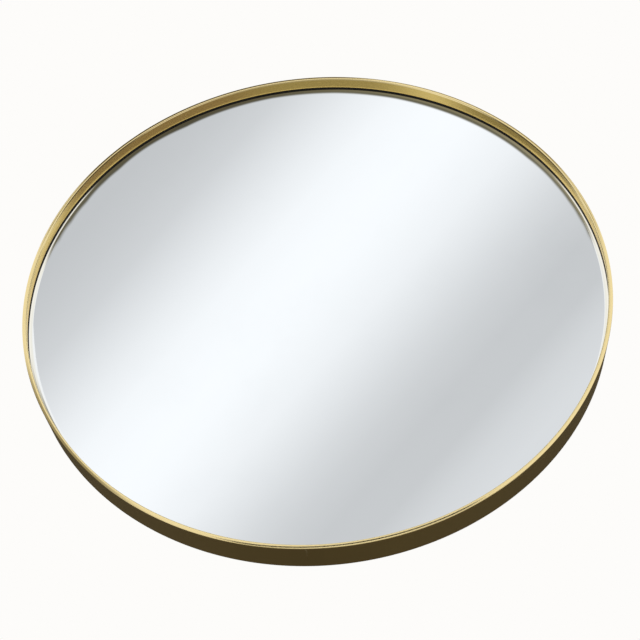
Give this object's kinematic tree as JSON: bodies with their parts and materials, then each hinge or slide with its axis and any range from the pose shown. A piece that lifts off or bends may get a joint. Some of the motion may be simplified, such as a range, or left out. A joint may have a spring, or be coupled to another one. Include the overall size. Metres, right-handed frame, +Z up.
{
  "type": "round wall mirror",
  "caption": "Round wall mirror in a deep metal hoop with a thin rounded lip, hung from the wall by ring hangers on its back.",
  "frame": {"origin": "centre of the wall plane, where the bumpers' rear faces touch the wall", "axes": "+Z up, +Y into the wall, so the glass faces -Y; +X to the right of someone who looks into the glass"},
  "size_m": [0.61, 0.04, 0.61],
  "materials": {
    "frame_metal": "satin anodised, pale gold",
    "gasket": "matt black",
    "mirror": "silvered, polished",
    "film": "matt grey safety film",
    "board": "raw fibreboard",
    "zinc_steel": "bright zinc plated",
    "spring_steel": "tempered, dull",
    "bumper": "soft translucent grey"
  },
  "bodies": {
    "mirror": {"frame_ring": "frame_metal", "edge_gasket": "gasket", "mirror_glass": "mirror", "safety_film": "film", "backing_board": "board", "splice_plate": "zinc_steel", "splice_screws": "zinc_steel", "strap_left": "zinc_steel", "strap_right": "zinc_steel", "hanger_screws": "zinc_steel", "spring_clip_1": "spring_steel", "spring_clip_2": "spring_steel", "spring_clip_3": "spring_steel", "spring_clip_4": "spring_steel", "spring_clip_5": "spring_steel", "spring_clip_6": "spring_steel", "spring_clip_7": "spring_steel", "spring_clip_8": "spring_steel", "bumper_1": "bumper", "bumper_2": "bumper", "bumper_3": "bumper", "bumper_4": "bumper"},
    "ring_left": {"hanger_ring_left": "zinc_steel"},
    "ring_right": {"hanger_ring_right": "zinc_steel"}
  },
  "joints": [
    {"name": "ring_left_swing", "type": "hinge", "parent": "mirror", "child": "ring_left", "pos_m": [-0.2, -0.00695, 0.12], "axis": [1, 0, 0], "range_deg": [0, 180]},
    {"name": "ring_right_swing", "type": "hinge", "parent": "mirror", "child": "ring_right", "pos_m": [0.2, -0.00695, 0.12], "axis": [1, 0, 0], "range_deg": [0, 180]}
  ]
}
